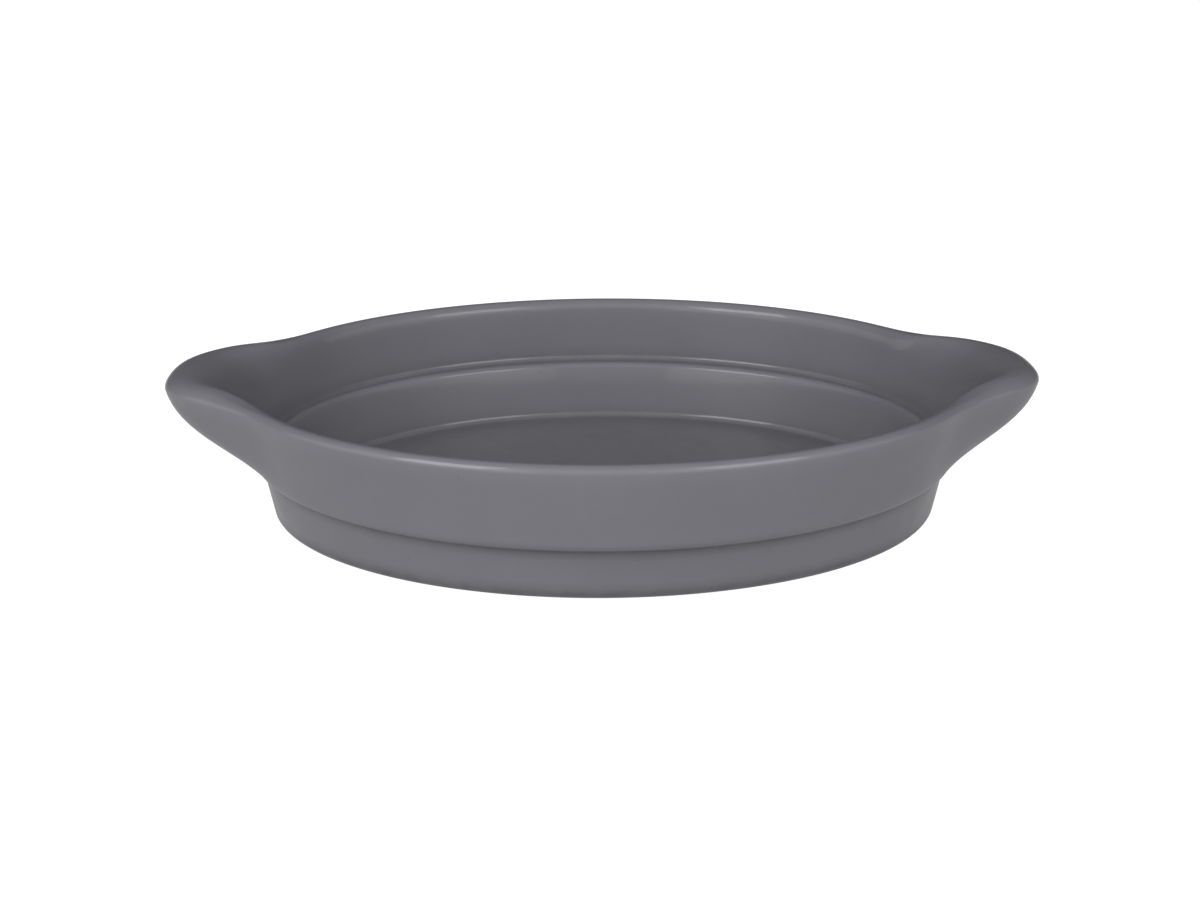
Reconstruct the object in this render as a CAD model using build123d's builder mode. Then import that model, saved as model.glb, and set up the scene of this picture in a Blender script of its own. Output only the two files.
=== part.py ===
from build123d import *
from math import atan2, cos, sin, sqrt
import os

# Gratin dish of glazed stoneware, oval, with a stepped wall and two ear handles.
# All sizes are in millimetres. The origin is on the table, under the middle of the dish,
# +X runs lengthways through both handles and +Z is up.

# Overall sizes
overall_length = 360.0
rim_width = 244.4
dish_height = 58.2

# Straight wall that is left beside a rounding, however thin the wall is made
rounding_margin = 0.4

# Rim and upper wall
rim_thickness = 7.2
rim_band = 3.6
rim_flat = 1.0
upper_wall_draft = 5.0
upper_wall_foot_thickness = 6.0

# Step between the two walls
step_height = 23.5
step_depth = 5.6
step_rounding = 4.8
ledge_height = 29.8
ledge_corner_radius = 2.5
ledge_corner_margin = 0.5
ledge_edge_radius = 2.4

# Lower wall, floor and foot
lower_wall_draft = 5.2
lower_wall_thickness = 7.8
floor_fillet = 5.0
foot_rounding = 3.4
base_thickness = 5.0
foot_height = 1.2
foot_width = 6.0
foot_inset = 4.2
foot_edge_radius = 0.4

# Ear handles
handle_reach = 26.3
handle_half_width = 39.0
handle_squareness = 4.3
handle_tuck = 8.0
handle_rise = 3.6
handle_rise_length = 30.0
handle_top_rounding = 5.5
handle_root_gap = 1.0
handle_root_skin = 1.5
handle_flare = 2.1
handle_tail = 8.6
handle_joint_margin = 2.6
handle_embed = 4.0
handle_trim = 2.0
handle_steps = 8
handle_section_shares = (-0.06, 0.15, 0.4, 0.7, 1.0)

# Levels and reaches that follow from the sizes above
rim_length = overall_length - 2 * handle_reach
rim_seat = dish_height - rim_band
rim_rounding = min((rim_thickness - rim_flat) / 2, rim_band - rounding_margin)
shelf_rounding = min(ledge_edge_radius, ledge_height - step_height - rounding_margin)
floor_top = foot_height + base_thickness
wall_seat = ledge_height + ledge_corner_radius + ledge_corner_margin
rim_reach = rim_length / 2
oval_difference = (rim_length - rim_width) / 2
step_reach = rim_reach - upper_wall_draft
lower_wall_reach = step_reach - step_depth
foot_reach = lower_wall_reach - lower_wall_draft
foot_ring_reach = foot_reach - foot_inset
upper_lean = upper_wall_draft / (rim_seat - step_height)
lower_lean = lower_wall_draft / (step_height - foot_height)


def upper_outside(height):
    """Half length of the upper wall's outside at a height."""
    return rim_reach - upper_lean * (rim_seat - height)


def lower_outside(height):
    """Half length of the lower wall's outside at a height."""
    return lower_wall_reach - lower_lean * (step_height - height)


ledge_corner_reach = upper_outside(ledge_height) - upper_wall_foot_thickness
rim_inner_reach = rim_reach - rim_thickness
inner_lean = (rim_inner_reach - ledge_corner_reach) / (rim_seat - ledge_height)


def upper_inside(height):
    """Half length of the upper wall's inside at a height."""
    return ledge_corner_reach + inner_lean * (height - ledge_height)


def lower_inside(height):
    """Half length of the lower wall's inside at a height."""
    return lower_outside(height) - lower_wall_thickness


def oval_edge(reach, across):
    """Distance from the middle to an oval's edge, measured lengthways at a place across it."""
    return reach * sqrt(1 - (across / (reach - oval_difference)) ** 2)


floor_reach = lower_inside(floor_top) - floor_fillet
crown_reach = rim_reach - rim_thickness / 2
handle_top = dish_height + handle_rise
handle_root = step_height + step_rounding + handle_root_gap
handle_edge = handle_top - handle_top_rounding
handle_rise_start = overall_length / 2 - handle_rise_length
handle_tilt = atan2(handle_rise, handle_rise_length)

# The ear's outline crosses the wall here, and its sections run on inside the wall
handle_meeting = handle_half_width * (handle_reach / handle_tuck) ** (1 / handle_squareness)
handle_joint_half_width = handle_meeting + handle_joint_margin
handle_half_span = handle_meeting + handle_tail
handle_back = oval_edge(upper_outside(handle_root), handle_half_span) - handle_tuck - handle_embed
handle_top_plane = Plane(
    origin=(handle_rise_start, 0, dish_height),
    x_dir=(cos(handle_tilt), 0, sin(handle_tilt)),
    z_dir=(-sin(handle_tilt), 0, cos(handle_tilt)),
)


def oval_sketch(height, reach):
    """Sketch the dish's oval at a height, with the given half length."""
    with BuildSketch(Plane.XY.offset(height)) as section:
        Ellipse(reach, reach - oval_difference)
    return section.sketch


def oval_block(low, low_reach, high, high_reach, mode=Mode.ADD):
    """Add a straight-sided oval block that grows from one level to another."""
    loft([oval_sketch(low, low_reach), oval_sketch(high, high_reach)], ruled=True, mode=mode)


def handle_section(height, share):
    """Sketch the right handle at a height, grown by a share of its reach from the wall."""
    edge_points = []
    for step in range(-handle_steps, handle_steps + 1):
        across = handle_half_span * step / handle_steps
        fullness = 1 / (1 + (abs(across) / handle_half_width) ** handle_squareness)
        outline = (handle_reach + handle_tuck) * fullness - handle_tuck
        stand_out = (outline + handle_root_skin) * share - handle_root_skin
        wall = oval_edge(upper_outside(min(height, rim_seat)), across)
        edge_points.append((wall + stand_out, across))
    with BuildSketch(Plane.XY.offset(height)) as section:
        with BuildLine():
            Spline(edge_points)
            Polyline(
                edge_points[-1],
                (handle_back, handle_half_span),
                (handle_back, -handle_half_span),
                edge_points[0],
            )
        make_face()
    return section.sketch


# Foot ring, the bare ring that stands on the table
with BuildPart() as foot_ring:
    extrude(oval_sketch(0, foot_ring_reach), amount=foot_height)
    extrude(oval_sketch(0, foot_ring_reach - foot_width), amount=foot_height, mode=Mode.SUBTRACT)
    fillet(foot_ring.edges().group_by(Axis.Z)[0], foot_edge_radius)

# Base, the flat floor inside the ring of the lower wall
with BuildPart() as base:
    extrude(oval_sketch(foot_height, floor_reach), amount=base_thickness)

# Lower wall, from the foot's rounded edge to the step
with BuildPart() as lower_wall_hollow:
    oval_block(floor_top, lower_inside(floor_top), step_height, lower_inside(step_height))
    fillet(lower_wall_hollow.edges().group_by(Axis.Z)[0], floor_fillet)

with BuildPart() as lower_wall:
    oval_block(foot_height, lower_outside(foot_height), step_height, lower_outside(step_height))
    fillet(lower_wall.edges().group_by(Axis.Z)[0], foot_rounding)
    add(lower_wall_hollow.part, mode=Mode.SUBTRACT)
    add(base.part, mode=Mode.SUBTRACT)

# Ledge, the step that carries the wider upper wall
with BuildPart() as ledge_shelf_hollow:
    oval_block(ledge_height, upper_inside(ledge_height), wall_seat, upper_inside(wall_seat))
    fillet(ledge_shelf_hollow.edges().group_by(Axis.Z)[0], ledge_corner_radius)

with BuildPart() as ledge:
    oval_block(step_height, upper_outside(step_height), wall_seat, upper_outside(wall_seat))
    fillet(ledge.edges().group_by(Axis.Z)[0], step_rounding)
    add(ledge_shelf_hollow.part, mode=Mode.SUBTRACT)
    oval_block(
        step_height, lower_inside(step_height), ledge_height, lower_inside(ledge_height), Mode.SUBTRACT
    )
    shelf = ledge.faces().filter_by(Axis.Z).sort_by(Axis.Z)[1]
    fillet(shelf.inner_wires()[0].edges(), shelf_rounding)

# Upper wall, the wider band above the ledge
with BuildPart() as upper_wall:
    oval_block(wall_seat, upper_outside(wall_seat), rim_seat, upper_outside(rim_seat))
    oval_block(wall_seat, upper_inside(wall_seat), rim_seat, upper_inside(rim_seat), Mode.SUBTRACT)

# Rim, the rounded lip on the upper wall, still whole where the handles join it
with BuildPart() as whole_rim:
    extrude(oval_sketch(rim_seat, rim_reach), amount=rim_band)
    extrude(oval_sketch(rim_seat, rim_reach - rim_thickness), amount=rim_band, mode=Mode.SUBTRACT)
    fillet(whole_rim.edges().group_by(Axis.Z)[-1], rim_rounding)

# Space that the handles are cut back from, so that they meet the wall and rim face to face
with BuildPart() as wall_fill:
    oval_block(step_height, upper_outside(step_height), rim_seat, upper_outside(rim_seat))
    extrude(oval_sketch(rim_seat, crown_reach), amount=rim_band + handle_rise)

# Outer half of the rim at the two ends, which belongs to the handles
with BuildPart() as handle_joints:
    with BuildSketch(Plane.XY.offset(rim_seat)):
        Rectangle(2 * rim_reach, 2 * handle_joint_half_width)
    extrude(amount=rim_band)
    extrude(oval_sketch(rim_seat, crown_reach), amount=rim_band, mode=Mode.SUBTRACT)

with BuildPart() as right_rim_cheek:
    add(whole_rim.part)
    add(handle_joints.part, mode=Mode.INTERSECT)
    split(bisect_by=Plane.YZ, keep=Keep.TOP)

# Right handle, a solid ear that flares out of the wall and rises a little to its tip
with BuildPart() as right_handle:
    sections = []
    for height_share in handle_section_shares:
        height = handle_root + height_share * (handle_edge - handle_root)
        sections.append(handle_section(height, 1 - (1 - height_share) ** handle_flare))
    sections.append(handle_section(handle_top + handle_trim, 1))
    loft(sections)
    split(bisect_by=handle_top_plane, keep=Keep.BOTTOM)
    top_edges = right_handle.faces().sort_by(Axis.Z)[-1].edges()
    fillet(top_edges.filter_by(GeomType.BSPLINE), handle_top_rounding)
    add(wall_fill.part, mode=Mode.SUBTRACT)
    add(right_rim_cheek.part)

# Left handle, the same ear mirrored to the other end
with BuildPart() as left_handle:
    add(mirror(right_handle.part, about=Plane.YZ))

# Rim, cut back to its crown where a handle takes over its outer half
with BuildPart() as rim:
    add(whole_rim.part)
    add(handle_joints.part, mode=Mode.SUBTRACT)

# Each node is labelled and written to its own file
os.makedirs("parts", exist_ok=True)
nodes = {
    "foot_ring": foot_ring,
    "base": base,
    "lower_wall": lower_wall,
    "ledge": ledge,
    "upper_wall": upper_wall,
    "rim": rim,
    "left_handle": left_handle,
    "right_handle": right_handle,
}
for name, node in nodes.items():
    node.part.label = name
    export_step(node.part, f"parts/{name}.step")
    print(name, node.part.is_valid, round(node.part.volume), len(node.part.solids()))
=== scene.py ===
import math

import bpy
from bpy.props import FloatProperty, FloatVectorProperty, IntProperty, PointerProperty
from bpy.types import Operator, Panel, PropertyGroup
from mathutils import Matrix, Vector


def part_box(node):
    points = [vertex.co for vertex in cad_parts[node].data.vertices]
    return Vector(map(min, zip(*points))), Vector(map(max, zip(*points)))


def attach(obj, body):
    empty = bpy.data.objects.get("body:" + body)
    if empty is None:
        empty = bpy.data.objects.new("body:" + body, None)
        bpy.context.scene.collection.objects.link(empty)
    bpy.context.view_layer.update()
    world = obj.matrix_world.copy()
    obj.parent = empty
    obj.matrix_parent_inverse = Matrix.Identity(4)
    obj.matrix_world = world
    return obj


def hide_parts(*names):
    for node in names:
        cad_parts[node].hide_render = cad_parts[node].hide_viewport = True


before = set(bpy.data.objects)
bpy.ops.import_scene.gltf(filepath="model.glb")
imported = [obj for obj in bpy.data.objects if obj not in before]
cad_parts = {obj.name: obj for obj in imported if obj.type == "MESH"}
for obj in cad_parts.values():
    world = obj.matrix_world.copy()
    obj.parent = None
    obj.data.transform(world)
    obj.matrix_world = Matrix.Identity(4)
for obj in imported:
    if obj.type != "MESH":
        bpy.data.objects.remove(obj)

bl_info = {
    "name": "Gratin dish",
    "version": (1, 0, 0),
    "blender": (4, 5, 0),
    "location": "3D View > Sidebar > Gratin dish",
    "description": "Builds a glazed oval gratin dish with a stepped wall and two ears",
    "category": "Object",
}

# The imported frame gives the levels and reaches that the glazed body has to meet. All in metres.
RIM_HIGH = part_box("rim")[1]
WALL_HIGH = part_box("upper_wall")[1]
STEP_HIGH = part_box("lower_wall")[1]
BASE_LOW, BASE_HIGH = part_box("base")
EAR_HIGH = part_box("right_handle")[1]
MM = 0.001

# The floor lies this much lower than the solid one. An ear is drawn out this much farther than
# the solid one, because the lean of the wall and the rounding of the edge take it off again.
FLOOR_SINK = 1.2 * MM
EAR_OVERREACH = 0.7 * MM

# Shares of the rim's thickness that its outer rounding and both its roundings together take
OUTER_ROUNDING = 0.42
BOTH_ROUNDINGS = 0.99

# Share of the end lean that the top of the lower wall takes
LOWER_LEAN = 0.22

# The soft curve inside an ear starts this many times as far in as the rim's crown
CURVE_START = 1.02

# Places along the section are counted in corners. The ears' inner curve ends this far before the
# ledge's corner, and glaze that is thin, or darkened in a hollow, at a corner is plain again this
# far from it.
LEDGE_GAP = 0.05
GLAZE_FADE = 0.2

# How the glaze lies at each corner of the section: it draws thin over edges (above 0), and
# hollows are darkened (below 0), partly as pooled glaze and partly as painted shade, most at
# the foot and in the crease under the step
GLAZE_AND_SHADE_AT_CORNERS = {
    "Foot": -1.0,
    "Step crease": -1.0,
    "Step edge": 0.1,
    "Rim outside": 0.3,
    "Rim inside": 0.3,
    "Ledge corner": -0.4,
    "Ledge edge": 0.3,
    "Floor corner": -0.3,
}

# Points closer than this are merged, which closes the seam and the two middles
MERGE_GAP = 0.01 * MM

# Real sizes of the patterns in the glaze. Only the orange peel is drawn coarser than the real
# one's 1 mm, because a finer one would be lost between the picture's pixels.
CLOUD_WIDTH = 45 * MM
MOTTLE_WIDTH = 3 * MM
RUN_WIDTH = 9 * MM
SPECK_SPACING, SPECK_CORE, SPECK_RADIUS = 7 * MM, 0.21 * MM, 0.42 * MM
SATIN_PATCH = 14 * MM
WAVE_LENGTH, WAVE_HEIGHT = 22 * MM, 0.1 * MM
PEEL_LENGTH, PEEL_HEIGHT = 1.8 * MM, 0.008 * MM

# Real sizes of the patterns in the bare clay of the ring
TOAST_WIDTH = 18 * MM
GROG_WIDTH, GROG_HEIGHT = 0.7 * MM, 0.05 * MM
SCRATCH_SPACING, SCRATCH_DEPTH = 0.5 * MM, 0.02 * MM
SCRATCH_STRETCH = (0.06, 1.0, 1.0)

# One place for a speck out of four has one. The satin's roughness wanders between two values,
# and is less by the third where the glaze lies deepest.
SPECK_SHARE = 0.25
SATIN_ROUGHNESS = (0.38, 0.48)
DEEP_GLOSS = 0.05

# Shader values that are the same all over each finish
GLAZE_FINISH = {
    "IOR": 1.52,
    "Specular IOR Level": 0.15,
    "Coat Weight": 0.35,
    "Coat Roughness": 0.07,
    "Coat IOR": 1.5,
}
PAPER_FINISH = {"Roughness": 0.9, "Emission Color": (1.0, 1.0, 1.0, 1.0)}

# Wide, soft lamps round the studio: name, turn from the camera, elevation and spread in degrees,
# and strength. The low ones in front light the outside walls, the top one lights the inside.
PANELS = (
    ("front_panel", 0, 2, 96, 1.85),
    ("left_panel", -55, 2, 80, 2.1),
    ("right_panel", 55, 2, 80, 1.7),
    ("top_panel", 0, 80, 90, 0.7),
)

# A panel lights as if from very far, wherever it hangs. The floor runs out of sight.
PANEL_DISTANCE = 2.0
FLOOR_HALF = 12.0

# The photograph's width in pixels, the camera's sensor in millimetres, and how far it sees
PHOTO_WIDTH = 1200
SENSOR_WIDTH = 36
SIGHT = 20

# Kinds of node that come up often
MATH = "ShaderNodeMath"
VECTOR_MATH = "ShaderNodeVectorMath"
MAP_RANGE = "ShaderNodeMapRange"
MIX = "ShaderNodeMix"
COMBINE = "ShaderNodeCombineXYZ"
SEPARATE = "ShaderNodeSeparateXYZ"
NOISE = "ShaderNodeTexNoise"
BUMP = "ShaderNodeBump"

# The node editor shows the nodes in columns of this many, this far apart
NODES_IN_COLUMN = 10
COLUMN_WIDTH, NODE_DROP = 200, 180


def length(name, description, default, low=0.0):
    """A size in metres that a user may change."""
    return FloatProperty(
        name=name, description=description, default=default, min=low, unit="LENGTH", precision=5
    )


def angle(name, description, degrees):
    """An angle that a user may change, from its default in degrees."""
    return FloatProperty(
        name=name, description=description, default=math.radians(degrees), subtype="ANGLE"
    )


def number(name, description, default, low=0.0, **kind):
    """A number that a user may change, with its unit or subtype where one fits."""
    return FloatProperty(name=name, description=description, default=default, min=low, **kind)


def share(name, description, default, high=1.0):
    """A share of something that a user may change."""
    return FloatProperty(
        name=name, description=description, default=default, min=0, max=high, subtype="FACTOR"
    )


def shade(name, description, code):
    """A colour that a user may change, from its sRGB hex code."""
    return FloatVectorProperty(
        name=name,
        description=description,
        default=linear(code),
        size=4,
        subtype="COLOR",
        min=0,
        max=1,
    )


def linear(code):
    """Turn an sRGB hex code into linear red, green, blue and alpha."""
    channels = [int(code[i : i + 2], 16) / 255 for i in (1, 3, 5)]
    return (*[c / 12.92 if c <= 0.04045 else ((c + 0.055) / 1.055) ** 2.4 for c in channels], 1.0)


class DishSizes(PropertyGroup):
    """Section of the dish, measured lengthways from its middle, as cast and glazed."""

    rim_reach: length(
        "Rim reach", "Half length of the dish over its rim, without ears", WALL_HIGH.x
    )
    rim_breadth: length("Rim breadth", "Half width of the dish over its rim", WALL_HIGH.y)
    height: length("Height", "Height of the rim above the table", RIM_HIGH.z)
    rim_thickness: length("Rim thickness", "Thickness of the wall at its rounded rim", 7.2 * MM)
    wall_lean: length("Wall lean", "How far the upper wall leans out over its height", 5.0 * MM)
    wall_foot: length("Wall foot", "Thickness of the upper wall at the ledge", 6.0 * MM)
    step_height: length("Step height", "Height of the step's underside", STEP_HIGH.z)
    step_rounding: length("Step rounding", "Radius of the step's lower edge", 4.8 * MM)
    step_crease: length(
        "Step crease", "Radius that the glaze leaves in the corner under the step", 0.6 * MM
    )
    ledge_height: length("Ledge height", "Height of the shelf inside the dish", 29.8 * MM)
    ledge_corner: length("Ledge corner", "Radius where the shelf meets the upper wall", 2.5 * MM)
    ledge_edge: length("Ledge edge", "Radius of the shelf's edge", 2.4 * MM)
    end_lean: length(
        "End lean", "How much more the upper wall leans at the dish's two ends", 4.0 * MM
    )
    lower_reach: length(
        "Lower wall reach", "Half length of the lower wall under the step", STEP_HIGH.x
    )
    lower_lean: length(
        "Lower wall lean", "How far the lower wall leans out over its height", 5.2 * MM
    )
    lower_thickness: length("Lower wall thickness", "Thickness of the lower wall", 7.8 * MM)
    foot_level: length("Foot level", "Height of the glazed underside above the table", BASE_LOW.z)
    foot_rounding: length("Foot rounding", "Radius of the lower wall's bottom edge", 3.4 * MM)
    floor_level: length(
        "Floor level", "Height of the floor inside the dish", BASE_HIGH.z - FLOOR_SINK
    )
    floor_fillet: length("Floor fillet", "Radius between the floor and the wall", 2.8 * MM)


class EarSizes(PropertyGroup):
    """Shape of the two ears, which are drawn out of the upper wall and the rim."""

    reach: length(
        "Ear reach",
        "How far an ear stands out from the rim, before its edge is rounded",
        EAR_HIGH.x - WALL_HIGH.x + EAR_OVERREACH,
    )
    half_width: length(
        "Ear half width", "Half width of an ear where it is half drawn out", 41.3 * MM
    )
    squareness: number("Ear squareness", "Higher values give an ear fuller shoulders", 4.0, 1)
    tuck: length("Ear tuck", "How deep the ear's outline dives into the wall beside it", 7.0 * MM)
    blend: length("Ear blend", "Width of the soft transition from ear to wall", 4.5 * MM)
    rise: length("Ear rise", "How much higher the ear's tip is than the rim", 2.8 * MM)
    edge_width: length(
        "Ear edge width", "Width of the rounding on top of the ear's edge", 11.0 * MM
    )
    edge_drop: length("Ear edge drop", "Height of the rounding on top of the ear's edge", 5.5 * MM)
    root: length("Ear root", "Height where the ear's underside leaves the wall", 27.0 * MM)
    flare: number("Ear flare", "Higher values make the underside swell out sooner", 2.36, 1)
    fade: length("Ear fade", "Reach at which the rim's own shape has faded into the ear", 20.8 * MM)
    hollow: length(
        "Ear hollow", "Height of the soft turn from the ear's top into the dish", 22.0 * MM
    )
    top_pull: share("Ear top pull", "How far the ear's top runs level towards the dish", 0.66)
    wall_pull: share(
        "Ear wall pull", "How far up the inner wall stays straight under the ear", 0.55
    )


class MeshSizes(PropertyGroup):
    """How finely the glazed body is divided."""

    columns: IntProperty(
        name="Columns", description="Divisions round the oval", default=400, min=32
    )
    rounding_rows: IntProperty(
        name="Rounding rows", description="Rows to a rounding", default=11, min=3
    )
    row_gap: length("Row gap", "Greatest distance between two rows", 2.6 * MM, 0.5 * MM)
    gathering: share("Gathering", "Share by which columns gather at the ears", 0.4, 0.9)


class FinishColours(PropertyGroup):
    """Colours of the glaze, of the bare ring and of the studio floor."""

    glaze: shade("Glaze", "Main colour of the dark grey glaze", "#5b5b60")
    glaze_cloud: shade("Glaze cloud", "Colour where more glaze was sprayed", "#545459")
    glaze_thin: shade("Thin glaze", "Colour where the glaze has drawn thin over an edge", "#66656b")
    # Pooled glaze colour, which also paints the shade at the foot, under the step and in the inner
    # corners
    glaze_pool: shade("Pooled glaze and painted shade", "Colour where the glaze has gathered", "#434347")
    iron: shade("Iron", "Colour of the iron specks", "#2e2b2a")
    body: shade("Bare body", "Colour of the unglazed stoneware of the ring", "#8f867b")
    body_toasted: shade(
        "Toasted body", "Colour where the flame has browned the bare ring", "#85705a"
    )
    grog: shade("Grog", "Colour of the pale grains in the bare ring", "#b9b1a5")
    floor: shade("Studio floor", "Colour of the plain studio floor", "#808080")


class StudioSizes(PropertyGroup):
    """Camera of the photograph, aimed at the middle of the dish, and the studio's lights."""

    elevation: angle("Elevation", "Camera above the horizon", 18.7)
    turn: angle("Turn", "Camera's turn round the dish", 2.19)
    distance: length("Distance", "Camera to the middle of the dish", 0.7023)
    focal: number("Focal length", "Focal length of the camera", 50.1, 10, unit="CAMERA")
    right: number(
        "Right", "Dish's middle, right of the photo's middle", 4.83, -PHOTO_WIDTH, subtype="PIXEL"
    )
    up: number(
        "Up", "Dish's middle, above the photo's middle", 15.39, -PHOTO_WIDTH, subtype="PIXEL"
    )
    softbox_width: length("Softbox width", "Width of the two tall softboxes", 0.52)
    softbox_height: length("Softbox height", "Height of the two tall softboxes", 0.7)
    softbox_distance: length("Softbox distance", "From the dish to each softbox", 1.2)
    left_turn: angle("Left turn", "Left softbox's turn from the camera", 40)
    right_turn: angle("Right turn", "Right softbox's turn from the camera", 40)
    softbox_elevation: angle("Softbox elevation", "Softboxes above the horizon", 31)
    left_power: number("Left power", "Power of the left softbox", 7.8, unit="POWER")
    right_power: number("Right power", "Power of the right softbox", 5.2, unit="POWER")
    room: number("Room light", "Soft light from all round", 0.05)
    table_white: number("Table white", "How white the table looks", 0.95)
    table_glow: number("Table glow", "Light that the table gives the dish", 0.45)


def own_properties(group):
    """A property group's own properties, without the two that every group has."""
    return group.bl_rna.properties.values()[2:]


def add_node(tree, kind, *feeds, **settings):
    """Add a node with its settings, and feed its inputs in order.

    A feed is a value, a socket, or a node whose first output in use is taken. None skips an input.
    """
    node = tree.nodes.new(kind)
    column, place = divmod(len(tree.nodes) - 1, NODES_IN_COLUMN)
    node.location = (column * COLUMN_WIDTH, -place * NODE_DROP)
    for name, value in settings.items():
        setattr(node, name, value)
    for socket, feed in zip([s for s in node.inputs if s.enabled], feeds):
        if isinstance(feed, bpy.types.Node):
            feed = next(s for s in feed.outputs if s.enabled)
        if isinstance(feed, bpy.types.NodeSocket):
            tree.links.new(feed, socket)
        elif feed is not None:
            socket.default_value = feed
    return node


def section_corners(dish):
    """Corners of the dish's section, from the middle of the underside to that of the floor.

    Each is its name, its reach, the radius that rounds it, and its height.
    """
    lean = dish.wall_lean / (dish.height - dish.step_height)
    lower_lean = dish.lower_lean / (dish.step_height - dish.foot_level)
    ledge_reach = dish.rim_reach - lean * (dish.height - dish.ledge_height) - dish.wall_foot
    inner_reach = dish.lower_reach - dish.lower_thickness
    ledge_lip = inner_reach + lower_lean * (dish.ledge_height - dish.step_height)
    floor_reach = inner_reach - lower_lean * (dish.step_height - dish.floor_level)
    outer_rounding = OUTER_ROUNDING * dish.rim_thickness
    inner_rounding = BOTH_ROUNDINGS * dish.rim_thickness - outer_rounding
    return [
        ("Underside middle", 0, 0, dish.foot_level),
        ("Foot", dish.lower_reach - dish.lower_lean, dish.foot_rounding, dish.foot_level),
        ("Step crease", dish.lower_reach, dish.step_crease, dish.step_height),
        ("Step edge", dish.rim_reach - dish.wall_lean, dish.step_rounding, dish.step_height),
        ("Rim outside", dish.rim_reach, outer_rounding, dish.height),
        ("Rim inside", dish.rim_reach - dish.rim_thickness, inner_rounding, dish.height),
        ("Ledge corner", ledge_reach, dish.ledge_corner, dish.ledge_height),
        ("Ledge edge", ledge_lip, dish.ledge_edge, dish.ledge_height),
        ("Floor corner", floor_reach, dish.floor_fillet, dish.floor_level),
        ("Floor middle", 0, 0, dish.floor_level),
    ]


def dish_inputs(dish, ear, grain, glaze):
    """Names, kinds and values of the inputs of the dish's node tree."""
    rows = [(name, "Vector", at) for name, *at in section_corners(dish)]
    rows += [
        ("Oval difference", "Float", dish.rim_reach - dish.rim_breadth),
        ("Floor reach", "Float", BASE_HIGH.x),
        ("End lean", "Float", dish.end_lean),
    ]
    for group in (ear, grain):
        for row in own_properties(group):
            rows.append((row.name, row.type.capitalize(), getattr(group, row.identifier)))
    return [*rows, ("Glaze", "Material", glaze)]


def section_curve(tree, size, corners):
    """Nodes that draw half of the dish's section as a rounded line, its points marked by corner."""
    index = add_node(tree, "GeometryNodeInputIndex")
    corner = add_node(tree, "GeometryNodeIndexSwitch", data_type="VECTOR")
    # A new switch has room for two corners
    for _ in corners[2:]:
        corner.index_switch_items.new()
    for socket, feed in zip(corner.inputs, [index.outputs[0], *[size[name] for name in corners]]):
        tree.links.new(feed, socket)
    reach, radius, height = add_node(tree, SEPARATE, corner).outputs
    place = add_node(tree, COMBINE, reach, 0.0, height)
    line = add_node(tree, "GeometryNodeMeshLine", len(corners))
    for name, value in (("rounding", radius), ("corner", index)):
        line = add_node(
            tree, "GeometryNodeStoreNamedAttribute", line, None, name, value, data_type="FLOAT"
        )
    line = add_node(tree, "GeometryNodeSetPosition", line, None, place)
    line = add_node(tree, "GeometryNodeMeshToCurve", line)
    rounding = add_node(tree, "GeometryNodeInputNamedAttribute", "rounding", data_type="FLOAT")
    line = add_node(
        tree, "GeometryNodeFilletCurve", line, size["Rounding rows"], rounding, False, mode="POLY"
    )
    # Straight stretches get as many rows as keep two rows within the row gap
    here = add_node(tree, "GeometryNodeInputPosition")
    after = add_node(tree, MATH, index, 1.0, operation="ADD")
    following = add_node(tree, "GeometryNodeFieldAtIndex", here, after, data_type="FLOAT_VECTOR")
    gap = add_node(tree, VECTOR_MATH, here, following, operation="DISTANCE")
    cuts = add_node(tree, MATH, gap, size["Row gap"], operation="DIVIDE")
    cuts = add_node(tree, MATH, cuts, operation="FLOOR")
    return add_node(tree, "GeometryNodeSubdivideCurve", line, cuts)


def oval_angle(tree, size, column):
    """Nodes for a column's angle round the oval, with the columns gathered at the ears."""
    last = add_node(tree, MATH, size["Columns"], 1.0, operation="SUBTRACT")
    turn = add_node(tree, MATH, column, last, operation="DIVIDE")
    even = add_node(tree, MATH, turn, 2 * math.pi, operation="MULTIPLY")
    double = add_node(tree, MATH, even, 2.0, operation="MULTIPLY")
    wave = add_node(tree, MATH, double, operation="SINE")
    half = add_node(tree, MATH, size["Gathering"], -0.5, operation="MULTIPLY")
    return add_node(tree, MATH, wave, half, even, operation="MULTIPLY_ADD")


def oval_breadth(tree, size, reach):
    """Nodes for the oval's half width at a half length.

    It is less by a fixed amount, or in proportion to the half length within the floor.
    """
    wide = add_node(tree, MATH, reach, size["Oval difference"], operation="SUBTRACT")
    ratio = add_node(tree, MATH, size["Oval difference"], size["Floor reach"], operation="DIVIDE")
    ratio = add_node(tree, MATH, 1.0, ratio, operation="SUBTRACT")
    narrow = add_node(tree, MATH, reach, ratio, operation="MULTIPLY")
    return add_node(tree, MATH, wide, narrow, operation="MAXIMUM")


def end_draw(tree, size, corners, level, mark):
    """Nodes for how far the walls draw in at the two ends: most at the step, nothing at the rim.

    The lower wall draws in a little and the upper wall more. Inside, nothing does so from the
    ledge's edge to the floor.
    """
    crease, lip = corners.index("Step crease"), corners.index("Ledge edge")
    rim_top = add_node(tree, SEPARATE, size["Rim outside"]).outputs["Z"]
    step = add_node(tree, SEPARATE, size["Step edge"]).outputs["Z"]
    draw = add_node(tree, MAP_RANGE, level, rim_top, step, 0.0, size["End lean"])
    lower = add_node(tree, MAP_RANGE, mark, crease - 1.0, crease, 0.0, LOWER_LEAN)
    outer = add_node(tree, MAP_RANGE, mark, crease, crease + 1.0, 0.0, 1.0 - LOWER_LEAN)
    outer = add_node(tree, MATH, outer, lower, operation="ADD")
    inner = add_node(tree, MAP_RANGE, mark, lip, lip - 1.0)
    draw = add_node(tree, MATH, draw, outer, operation="MULTIPLY")
    return add_node(tree, MATH, draw, inner, operation="MULTIPLY")


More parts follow.
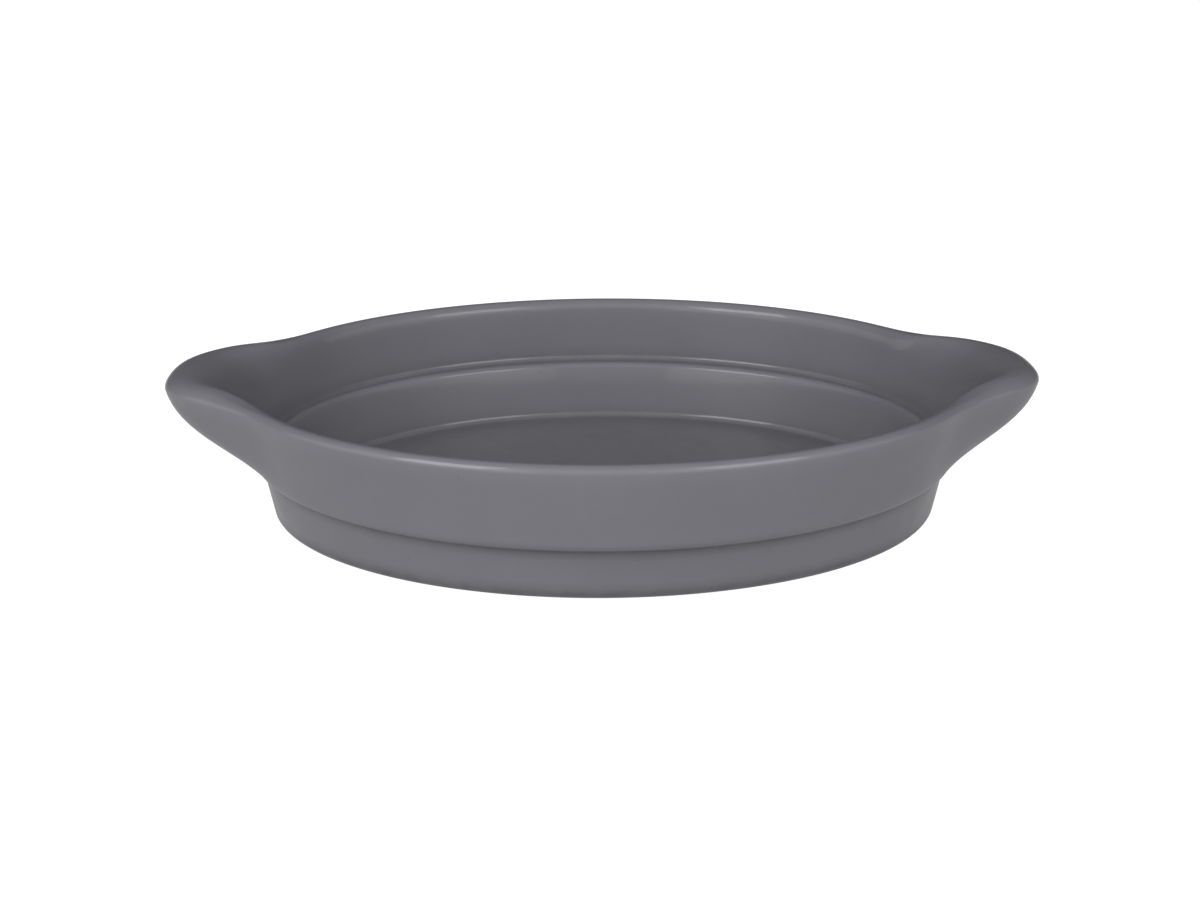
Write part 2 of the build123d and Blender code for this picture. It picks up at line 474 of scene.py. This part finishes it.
def soft_curve(tree, progress, points):
    """Nodes for a place on a smooth curve from the first point to the last.

    The points between pull it towards themselves. Each round of mixing leaves one point fewer.
    """
    while len(points) > 1:
        points = [
            add_node(tree, MIX, progress, here, after, data_type="VECTOR")
            for here, after in zip(points, points[1:])
        ]
    return points[0]


def ear_shift(tree, size, corners, reach, level, mark, across):
    """Nodes for how far the two ears are drawn out of the wall and the rim, outward and up."""
    # Outline: how far the rim is drawn out at this place across the dish
    aside = add_node(tree, MATH, across, operation="ABSOLUTE")
    aside = add_node(tree, MATH, aside, size["Ear half width"], operation="DIVIDE")
    falling = add_node(tree, MATH, aside, size["Ear squareness"], operation="POWER")
    falling = add_node(tree, MATH, falling, 1.0, operation="ADD")
    whole = add_node(tree, MATH, size["Ear reach"], size["Ear tuck"], operation="ADD")
    outline = add_node(tree, MATH, whole, falling, operation="DIVIDE")
    outline = add_node(tree, MATH, outline, size["Ear tuck"], operation="SUBTRACT")
    drawn = add_node(tree, MATH, outline, 0.0, size["Ear blend"], operation="SMOOTH_MAX")
    fullness = add_node(
        tree, MAP_RANGE, drawn, 0.0, size["Ear fade"], interpolation_type="SMOOTHSTEP"
    )
    lift = add_node(tree, MATH, size["Ear rise"], fullness, operation="MULTIPLY")

    # Levels that the ear starts from, and sine and cosine of the place on the rim's rounding
    rim_reach, rounding, top = add_node(tree, SEPARATE, size["Rim outside"]).outputs
    seat = add_node(tree, MATH, top, rounding, operation="SUBTRACT")
    climb = add_node(tree, MAP_RANGE, level, size["Ear root"], seat)
    sine = add_node(tree, MAP_RANGE, level, seat, top)
    square = add_node(tree, MATH, sine, sine, operation="MULTIPLY")
    cosine = add_node(tree, MATH, 1.0, square, operation="SUBTRACT")
    cosine = add_node(tree, MATH, cosine, operation="SQRT")

    # Outside: the underside swells out from the wall, and the rim's rounding widens at the edge
    under = add_node(tree, MATH, 1.0, climb, operation="SUBTRACT")
    under = add_node(tree, MATH, under, size["Ear flare"], operation="POWER")
    swell = add_node(tree, MATH, 1.0, under, operation="SUBTRACT")
    out = add_node(tree, MATH, drawn, swell, operation="MULTIPLY")
    wider = add_node(tree, MATH, size["Ear edge width"], rounding, operation="SUBTRACT")
    wider = add_node(tree, MATH, wider, fullness, operation="MULTIPLY")
    deeper = add_node(tree, MATH, size["Ear edge drop"], rounding, operation="SUBTRACT")
    deeper = add_node(tree, MATH, deeper, fullness, operation="MULTIPLY")
    short = add_node(tree, MATH, 1.0, cosine, operation="SUBTRACT")
    short = add_node(tree, MATH, wider, short, operation="MULTIPLY")
    out = add_node(tree, MATH, out, short, operation="SUBTRACT")
    low = add_node(tree, MATH, 1.0, sine, operation="SUBTRACT")
    low = add_node(tree, MATH, deeper, low, operation="MULTIPLY")
    up = add_node(tree, MATH, lift, low, operation="SUBTRACT")
    up = add_node(tree, MATH, up, climb, operation="MULTIPLY")
    outer = add_node(tree, COMBINE, out, 0.0, up)

    # Inside: one soft curve runs from the ear's edge over the rim and down the inner wall, and
    # a point's run from the crown, round the rim and down the wall, tells its place on the curve
    tilt = add_node(tree, MATH, sine, operation="ARCCOSINE")
    tilt = add_node(tree, MATH, tilt, rounding, operation="MULTIPLY")
    below = add_node(tree, MATH, seat, level, operation="SUBTRACT")
    below = add_node(tree, MATH, below, 0.0, operation="MAXIMUM")
    run = add_node(tree, MATH, tilt, below, operation="ADD")
    span = add_node(tree, MATH, rounding, math.pi / 2, size["Ear hollow"], operation="MULTIPLY_ADD")
    progress = add_node(tree, MAP_RANGE, run, 0.0, span)

    # The crown lies in from the corner by rounding * (s + sqrt(1 + s * s)), s being the wall's
    # slope, and the curve starts a hair inside it, so that the two never fold over each other
    wall = add_node(tree, VECTOR_MATH, size["Rim outside"], size["Step edge"], operation="SUBTRACT")
    wall = add_node(tree, SEPARATE, wall)
    slope = add_node(tree, MATH, wall.outputs["X"], wall.outputs["Z"], operation="DIVIDE")
    inset = add_node(tree, MATH, slope, slope, 1.0, operation="MULTIPLY_ADD")
    inset = add_node(tree, MATH, inset, operation="SQRT")
    inset = add_node(tree, MATH, inset, slope, operation="ADD")
    inset = add_node(tree, MATH, inset, rounding, operation="MULTIPLY")
    inset = add_node(tree, MATH, inset, CURVE_START, wider, operation="MULTIPLY_ADD")
    start = add_node(tree, MATH, drawn, inset, operation="SUBTRACT")
    crest = add_node(tree, MATH, top, size["Ear rise"], operation="ADD")
    start = add_node(tree, COMBINE, start, 0.0, crest)

    # The curve ends on the inner wall, and is pulled level at its start and along the wall there
    rim_inside = add_node(tree, SEPARATE, size["Rim inside"]).outputs["X"]
    inside = add_node(tree, MATH, rim_inside, rim_reach, operation="SUBTRACT")
    inner_wall = add_node(
        tree, VECTOR_MATH, size["Ledge corner"], size["Rim inside"], operation="SUBTRACT"
    )
    inner_wall = add_node(tree, SEPARATE, inner_wall).outputs
    inner_slope = add_node(tree, MATH, inner_wall["X"], inner_wall["Z"], operation="DIVIDE")
    fall = add_node(tree, MATH, size["Ear hollow"], rounding, operation="ADD")
    back = add_node(tree, MATH, inner_slope, fall, operation="MULTIPLY")
    back = add_node(tree, MATH, inside, back, operation="SUBTRACT")
    foot = add_node(tree, MATH, top, fall, operation="SUBTRACT")
    foot = add_node(tree, COMBINE, back, 0.0, foot)
    over_wall = add_node(tree, COMBINE, inside, 0.0, crest)
    wall_top = add_node(tree, COMBINE, inside, 0.0, top)
    first = add_node(tree, MIX, size["Ear top pull"], start, over_wall, data_type="VECTOR")
    second = add_node(tree, MIX, size["Ear wall pull"], foot, wall_top, data_type="VECTOR")
    curve = soft_curve(tree, progress, [start, first, second, foot])
    plain = add_node(tree, MATH, reach, rim_reach, operation="SUBTRACT")
    plain = add_node(tree, COMBINE, plain, 0.0, level)
    inner = add_node(tree, VECTOR_MATH, curve, plain, operation="SUBTRACT")
    inner = add_node(tree, VECTOR_MATH, inner, fullness, operation="SCALE")

    # Points up to the rim's crown are outside, and those from there to the ledge are inside
    crown = corners.index("Rim outside") + 0.5
    is_inside = add_node(tree, MATH, mark, crown, operation="GREATER_THAN")
    ledge = corners.index("Ledge corner") - LEDGE_GAP
    is_above = add_node(tree, MATH, mark, ledge, operation="LESS_THAN")
    inner = add_node(tree, VECTOR_MATH, inner, is_above, operation="SCALE")
    shift = add_node(tree, MIX, is_inside, outer, inner, data_type="VECTOR")
    return add_node(tree, SEPARATE, shift)


def glaze_depth_and_shade(tree, corners, mark):
    """Nodes for glaze and painted shade as each corner has them, plain along the walls between."""
    nearest = add_node(tree, MATH, mark, operation="ROUND")
    glaze = add_node(tree, "GeometryNodeIndexSwitch", data_type="FLOAT")
    for _ in corners[2:]:
        glaze.index_switch_items.new()
    tree.links.new(nearest.outputs[0], glaze.inputs[0])
    for socket, name in zip(glaze.inputs[1:], corners):
        socket.default_value = GLAZE_AND_SHADE_AT_CORNERS.get(name, 0.0)
    offset = add_node(tree, MATH, mark, nearest, operation="SUBTRACT")
    offset = add_node(tree, MATH, offset, operation="ABSOLUTE")
    near = add_node(
        tree, MAP_RANGE, offset, 0.0, GLAZE_FADE, 1.0, 0.0, interpolation_type="SMOOTHSTEP"
    )
    # The crown between the rim's two roundings is all edge
    crown = corners.index("Rim outside") + 0.5
    on_crown = add_node(tree, MATH, mark, crown, 0.5, operation="COMPARE")
    near = add_node(tree, MATH, near, on_crown, operation="MAXIMUM")
    return add_node(tree, MATH, glaze, near, operation="MULTIPLY")


def build_dish_tree(inputs):
    """Geometry nodes that carry the section round the oval and draw the two ears out of it."""
    tree = bpy.data.node_groups.new("Oval dish with ears", "GeometryNodeTree")
    for name, kind, _ in inputs:
        tree.interface.new_socket(name=name, in_out="INPUT", socket_type="NodeSocket" + kind)
    tree.interface.new_socket(name="Dish", in_out="OUTPUT", socket_type="NodeSocketGeometry")
    size = {s.name: s for s in add_node(tree, "NodeGroupInput").outputs}
    corners = [name for name, kind, _ in inputs if kind == "Vector"]
    section = section_curve(tree, size, corners)

    # One grid point for each row of the section and each column round the oval
    rows = add_node(tree, "GeometryNodeAttributeDomainSize", section, component="CURVE")
    rows = rows.outputs["Point Count"]
    grid = add_node(tree, "GeometryNodeMeshGrid", 1.0, 1.0, rows, size["Columns"])
    index = add_node(tree, "GeometryNodeInputIndex")
    row = add_node(tree, MATH, index, size["Columns"], operation="DIVIDE")
    row = add_node(tree, MATH, row, operation="FLOOR")
    column = add_node(tree, MATH, index, size["Columns"], operation="MODULO")

    # The section's point for this row, and where it lies along the section, counted in corners
    point = add_node(tree, "GeometryNodeInputPosition")
    point = add_node(tree, "GeometryNodeSampleIndex", section, point, row, data_type="FLOAT_VECTOR")
    point = add_node(tree, SEPARATE, point)
    reach, level = point.outputs["X"], point.outputs["Z"]
    mark = add_node(tree, "GeometryNodeInputNamedAttribute", "corner", data_type="FLOAT")
    mark = add_node(tree, "GeometryNodeSampleIndex", section, mark, row, data_type="FLOAT")

    # Its place on the oval, with the ears drawn out at the two ends
    around = oval_angle(tree, size, column)
    along = add_node(tree, MATH, around, operation="COSINE")
    across = add_node(tree, MATH, around, operation="SINE")
    breadth = oval_breadth(tree, size, reach)
    y = add_node(tree, MATH, breadth, across, operation="MULTIPLY")
    draw = end_draw(tree, size, corners, level, mark)
    x = add_node(tree, MATH, reach, draw, operation="SUBTRACT")
    x = add_node(tree, MATH, x, along, operation="MULTIPLY")
    shift = ear_shift(tree, size, corners, reach, level, mark, y)
    end = add_node(tree, MATH, along, operation="SIGN")
    x = add_node(tree, MATH, shift.outputs["X"], end, x, operation="MULTIPLY_ADD")
    z = add_node(tree, MATH, level, shift.outputs["Z"], operation="ADD")
    place = add_node(tree, COMBINE, x, y, z)

    # Below 0 this marks painted shade as well as pooled glaze: hollows, most of all the foot and
    # the step crease
    depth_and_shade = glaze_depth_and_shade(tree, corners, mark)
    dish = add_node(
        tree, "GeometryNodeStoreNamedAttribute", grid, None, "glaze_depth_and_shade", depth_and_shade, data_type="FLOAT"
    )
    dish = add_node(tree, "GeometryNodeSetPosition", dish, None, place)
    dish = add_node(tree, "GeometryNodeMergeByDistance", dish, None, MERGE_GAP)
    dish = add_node(tree, "GeometryNodeFlipFaces", dish)
    dish = add_node(tree, "GeometryNodeSetShadeSmooth", dish, None, True)
    dish = add_node(tree, "GeometryNodeRealizeInstances", dish)
    dish = add_node(tree, "GeometryNodeSetMaterial", dish, None, size["Glaze"])
    add_node(tree, "NodeGroupOutput", dish)
    return tree


# In the two materials below, a noise is fed its place, scale, detail and roughness, a range its
# value, the two ends that this comes between and the two that it is turned into, and a bump its
# strength, height, filter, pattern and the bump under it.


def glazed_stoneware(colours):
    """Dark grey satin glaze on cast stoneware, fired once.

    The real glaze is a glassy skin, some 0.3 mm thick, over a dark stained body. To the eye that
    is an even warm grey with a soft gloss that turns sharp at the highlights, a faint cloudiness
    from uneven spraying, an edge that breaks lighter where the glaze ran thin, corners and creases
    that are darker, partly as pooled glaze and partly as painted shade, most at the foot and under
    the step, a sparse scatter of tiny iron specks, and a surface that is never dead flat:
    highlights wander a little over its slow waves and its fine orange peel.
    """
    glaze = bpy.data.materials.new("satin_glazed_stoneware")
    glaze.use_nodes = True
    tree = glaze.node_tree
    tree.nodes.clear()
    place = add_node(tree, "ShaderNodeTexCoord").outputs["Object"]
    depth_and_shade = add_node(tree, "ShaderNodeAttribute", attribute_name="glaze_depth_and_shade").outputs["Fac"]

    # Uneven spraying: soft wide clouds, and a finer mottle
    clouds = add_node(tree, NOISE, place, 1 / CLOUD_WIDTH, 3.0, 0.5)
    clouds = add_node(tree, MAP_RANGE, clouds, 0.35, 0.65, 0.0, 0.3)
    mottle = add_node(tree, NOISE, place, 1 / MOTTLE_WIDTH, 2.0, 0.5)
    mottle = add_node(tree, MAP_RANGE, mottle, 0.2, 0.8, 0.0, 0.2)

    # Thin over edges, and darker in hollows, partly as pooled glaze and partly as painted shade,
    # each a little ragged because the glaze ran by itself
    ragged = add_node(tree, NOISE, place, 1 / RUN_WIDTH, 3.0, 0.55)
    ragged = add_node(tree, MAP_RANGE, ragged, 0.3, 0.7, 0.55, 1.0)
    depth_and_shade = add_node(tree, MATH, depth_and_shade, ragged, operation="MULTIPLY")
    thin = add_node(tree, MATH, depth_and_shade, 0.0, operation="MAXIMUM")
    pooled_and_shaded = add_node(tree, MATH, depth_and_shade, -1.0, operation="MULTIPLY", use_clamp=True)

    # Iron specks, which fade out round a darker core
    cells = add_node(tree, "ShaderNodeTexVoronoi", place, 1 / SPECK_SPACING)
    core, edge = SPECK_CORE / SPECK_SPACING, SPECK_RADIUS / SPECK_SPACING
    speck = add_node(tree, MAP_RANGE, cells.outputs["Distance"], core, edge, 0.35, 0.0)
    chosen = add_node(tree, "ShaderNodeSeparateColor", cells.outputs["Color"])
    chosen = add_node(tree, MATH, chosen, SPECK_SHARE, operation="LESS_THAN")
    speck = add_node(tree, MATH, speck, chosen, operation="MULTIPLY")

    colour = colours.glaze
    for amount, tint in (
        (clouds, colours.glaze_cloud),
        (mottle, colours.glaze_cloud),
        (thin, colours.glaze_thin),
        # Painted shade as well as pooled glaze: hollows, most of all the foot and the step crease,
        # are darkened
        (pooled_and_shaded, colours.glaze_pool),
        (speck, colours.iron),
    ):
        colour = add_node(tree, MIX, amount, colour, tint, data_type="RGBA")

    # Satin: crystals just under the skin spread most of the shine wide, more in some places than
    # in others and less where the glaze lies deep, and the skin itself adds a faint sharp gloss
    satin = add_node(tree, NOISE, place, 1 / SATIN_PATCH, 3.0, 0.5)
    satin = add_node(tree, MAP_RANGE, satin, 0.3, 0.7, *SATIN_ROUGHNESS)
    satin = add_node(tree, MATH, pooled_and_shaded, -DEEP_GLOSS, satin, operation="MULTIPLY_ADD")

    # Slow waves of the casting, and orange peel
    waves = add_node(tree, NOISE, place, 1 / WAVE_LENGTH, 1.0, 0.5)
    waves = add_node(tree, BUMP, 0.4, WAVE_HEIGHT, None, waves)
    peel = add_node(tree, NOISE, place, 1 / PEEL_LENGTH, 1.0, 0.5)
    peel = add_node(tree, BUMP, 0.15, PEEL_HEIGHT, None, peel, waves)

    shader = add_node(tree, "ShaderNodeBsdfPrincipled", colour, None, satin)
    for name, value in GLAZE_FINISH.items():
        shader.inputs[name].default_value = value
    for name in ("Normal", "Coat Normal"):
        tree.links.new(peel.outputs[0], shader.inputs[name])
    add_node(tree, "ShaderNodeOutputMaterial", shader)
    return glaze


def bare_stoneware(colours):
    """Unglazed stoneware, wiped clean before firing and ground flat after it.

    The real ring is dry, sandy clay: a warm grey with pale and dark grains of grog, brown toasting
    where the flame reached it, fine grinding scratches and no gloss at all.
    """
    body = bpy.data.materials.new("bare_stoneware")
    body.use_nodes = True
    tree = body.node_tree
    tree.nodes.clear()
    place = add_node(tree, "ShaderNodeTexCoord").outputs["Object"]
    toast = add_node(tree, NOISE, place, 1 / TOAST_WIDTH, 3.0, 0.6)
    toast = add_node(tree, MAP_RANGE, toast, 0.4, 0.7, 0.0, 0.6)

    # Pale grains and dark ones, each grain with a roughness of its own
    grog = add_node(tree, "ShaderNodeTexVoronoi", place, 1 / GROG_WIDTH)
    grain = add_node(tree, "ShaderNodeSeparateColor", grog.outputs["Color"])
    pale = add_node(tree, MAP_RANGE, grain.outputs["Red"], 0.7, 0.9, 0.0, 0.5)
    dark = add_node(tree, MAP_RANGE, grain.outputs["Green"], 0.85, 0.95, 0.0, 0.7)
    rough = add_node(tree, MAP_RANGE, grain.outputs["Blue"], 0.0, 1.0, 0.75, 0.95)

    colour = colours.body
    for amount, tint in (
        (toast, colours.body_toasted),
        (pale, colours.grog),
        (dark, colours.iron),
    ):
        colour = add_node(tree, MIX, amount, colour, tint, data_type="RGBA")

    # Grinding scratches run lengthways, so their noise is drawn out that way
    lengthways = add_node(tree, "ShaderNodeMapping", place)
    lengthways.inputs["Scale"].default_value = SCRATCH_STRETCH
    scratch = add_node(tree, NOISE, lengthways, 1 / SCRATCH_SPACING, 2.0, 0.5)
    scratch = add_node(tree, BUMP, 0.3, SCRATCH_DEPTH, None, scratch)
    sand = add_node(tree, BUMP, 0.6, GROG_HEIGHT, None, grog.outputs["Distance"], scratch)
    shader = add_node(tree, "ShaderNodeBsdfPrincipled", colour, None, rough)
    tree.links.new(sand.outputs[0], shader.inputs["Normal"])
    add_node(tree, "ShaderNodeOutputMaterial", shader)
    return body


class DISH_OT_glazed_body(Operator):
    """Build the glazed body of the dish with its two ears"""

    bl_idname = "dish.glazed_body"
    bl_label = "Glazed body"

    def execute(self, context):
        scene = context.scene
        glaze = glazed_stoneware(scene.finish_colours)
        inputs = dish_inputs(scene.dish_sizes, scene.ear_sizes, scene.mesh_sizes, glaze)
        tree = build_dish_tree(inputs)
        blank = bpy.data.objects.new("dish_nodes", bpy.data.meshes.new("dish_nodes"))
        scene.collection.objects.link(blank)
        nodes = blank.modifiers.new("Dish", "NODES")
        nodes.node_group = tree
        sockets = {s.name: s.identifier for s in tree.interface.items_tree if s.in_out == "INPUT"}
        for name, _, value in inputs:
            nodes[sockets[name]] = value
        graph = context.evaluated_depsgraph_get()
        mesh = bpy.data.meshes.new_from_object(blank.evaluated_get(graph))
        if not mesh.polygons:
            raise RuntimeError("the dish's node tree gave no faces")
        blank.modifiers.remove(nodes)
        bpy.data.objects.remove(blank)
        dish = bpy.data.objects.new("glazed_dish", mesh)
        scene.collection.objects.link(dish)
        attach(dish, "root")
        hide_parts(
            "base", "lower_wall", "ledge", "upper_wall", "rim", "left_handle", "right_handle"
        )
        return {"FINISHED"}


class DISH_OT_foot_ring(Operator):
    """Finish the bare ring that the dish stands on"""

    bl_idname = "dish.foot_ring"
    bl_label = "Foot ring"

    def execute(self, context):
        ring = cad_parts["foot_ring"]
        ring.data.materials.clear()
        ring.data.materials.append(bare_stoneware(context.scene.finish_colours))
        return {"FINISHED"}


class DISH_OT_studio(Operator):
    """Set up the studio floor, the lights and the camera of the photograph"""

    bl_idname = "dish.studio"
    bl_label = "Studio"

    def execute(self, context):
        scene = context.scene
        build_floor(scene)
        build_room(scene)
        build_lamps(scene)
        build_camera(scene)
        scene.view_settings.view_transform = "Standard"
        return {"FINISHED"}


def build_floor(scene):
    """Plain pale floor under the dish."""
    corners = [(x * FLOOR_HALF, y * FLOOR_HALF, 0) for x, y in ((-1, -1), (1, -1), (1, 1), (-1, 1))]
    mesh = bpy.data.meshes.new("studio_floor")
    mesh.from_pydata(corners, [], [(0, 1, 2, 3)])
    floor = bpy.data.objects.new("studio_floor", mesh)
    scene.collection.objects.link(floor)
    paper = bpy.data.materials.new("matt_studio_paper")
    paper.use_nodes = True
    tree = paper.node_tree
    tree.nodes.clear()
    shader = add_node(tree, "ShaderNodeBsdfPrincipled", scene.finish_colours.floor)
    for name, value in PAPER_FINISH.items():
        shader.inputs[name].default_value = value
    # The table is overexposed to plain white in the picture, and lights the dish like dim paper
    studio = scene.studio_sizes
    seen = add_node(tree, "ShaderNodeLightPath").outputs["Is Camera Ray"]
    glow = add_node(tree, MAP_RANGE, seen, 0.0, 1.0, studio.table_glow, studio.table_white)
    tree.links.new(glow.outputs[0], shader.inputs["Emission Strength"])
    add_node(tree, "ShaderNodeOutputMaterial", shader)
    mesh.materials.append(paper)


def build_room(scene):
    """Dim room, which the camera sees as plain white past the table."""
    world = bpy.data.worlds.new("studio_room")
    world.use_nodes = True
    tree = world.node_tree
    tree.nodes.clear()
    seen = add_node(tree, "ShaderNodeLightPath").outputs["Is Camera Ray"]
    strength = add_node(tree, MAP_RANGE, seen, 0.0, 1.0, scene.studio_sizes.room, 1.0)
    room = add_node(tree, "ShaderNodeBackground", (1.0, 1.0, 1.0, 1.0), strength)
    add_node(tree, "ShaderNodeOutputWorld", room)
    scene.world = world


def build_lamps(scene):
    """Wide dim panels and two tall softboxes, all in front or above."""
    studio = scene.studio_sizes
    for name, turn, elevation, spread, strength in PANELS:
        lamp = bpy.data.lights.new(name, "SUN")
        lamp.angle = math.radians(spread)
        lamp.energy = strength
        aim_at_dish(scene, lamp, math.radians(turn), math.radians(elevation), PANEL_DISTANCE)
    for name, turn, power in (
        ("left_softbox", -studio.left_turn, studio.left_power),
        ("right_softbox", studio.right_turn, studio.right_power),
    ):
        lamp = bpy.data.lights.new(name, "AREA")
        lamp.shape = "RECTANGLE"
        lamp.size = studio.softbox_width
        lamp.size_y = studio.softbox_height
        lamp.energy = power
        aim_at_dish(scene, lamp, turn, studio.softbox_elevation, studio.softbox_distance)


def build_camera(scene):
    """Camera at the photograph's angle, distance and framing."""
    studio = scene.studio_sizes
    lens = bpy.data.cameras.new("photo_camera")
    lens.lens = studio.focal
    lens.sensor_width = SENSOR_WIDTH
    lens.shift_x = -studio.right / PHOTO_WIDTH
    lens.shift_y = -studio.up / PHOTO_WIDTH
    lens.dof.use_dof = False
    lens.clip_end = SIGHT
    scene.camera = aim_at_dish(scene, lens, 0, studio.elevation, studio.distance)


def aim_at_dish(scene, item, turn, elevation, distance):
    """Place a lamp or camera at a turn from the camera and an elevation, aimed at the dish."""
    holder = bpy.data.objects.new(item.name, item)
    scene.collection.objects.link(holder)
    turn -= scene.studio_sizes.turn
    flat = math.cos(elevation)
    away = Vector((flat * math.sin(turn), -flat * math.cos(turn), math.sin(elevation)))
    holder.location = Vector((0, 0, scene.dish_sizes.height / 2)) + distance * away
    holder.rotation_euler = (-away).to_track_quat("-Z", "Y").to_euler()
    return holder


class DISH_PT_panel(Panel):
    """Lists the steps and the sizes of the gratin dish"""

    bl_idname = "DISH_PT_panel"
    bl_label = "Gratin dish"
    bl_space_type = "VIEW_3D"
    bl_region_type = "UI"
    bl_category = "Gratin dish"

    def draw(self, context):
        for step in STEPS:
            self.layout.operator(step.bl_idname)
        for key in GROUPS:
            group = getattr(context.scene, key)
            box = self.layout.box()
            for row in own_properties(group):
                box.prop(group, row.identifier)


STEPS = (DISH_OT_glazed_body, DISH_OT_foot_ring, DISH_OT_studio)
GROUPS = {
    "dish_sizes": DishSizes,
    "ear_sizes": EarSizes,
    "mesh_sizes": MeshSizes,
    "finish_colours": FinishColours,
    "studio_sizes": StudioSizes,
}


def register():
    """Add the classes to Blender, and the sizes to its scenes."""
    for item in (*GROUPS.values(), *STEPS, DISH_PT_panel):
        bpy.utils.register_class(item)
    for key, group in GROUPS.items():
        setattr(bpy.types.Scene, key, PointerProperty(type=group))


def unregister():
    """Take the sizes and the classes out again."""
    for key in GROUPS:
        delattr(bpy.types.Scene, key)
    for item in (DISH_PT_panel, *reversed(STEPS), *reversed(GROUPS.values())):
        bpy.utils.unregister_class(item)


def main():
    """Run every step in order."""
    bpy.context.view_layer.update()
    register()
    bpy.ops.dish.glazed_body()
    bpy.ops.dish.foot_ring()
    bpy.ops.dish.studio()


if __name__ == "__main__":
    main()
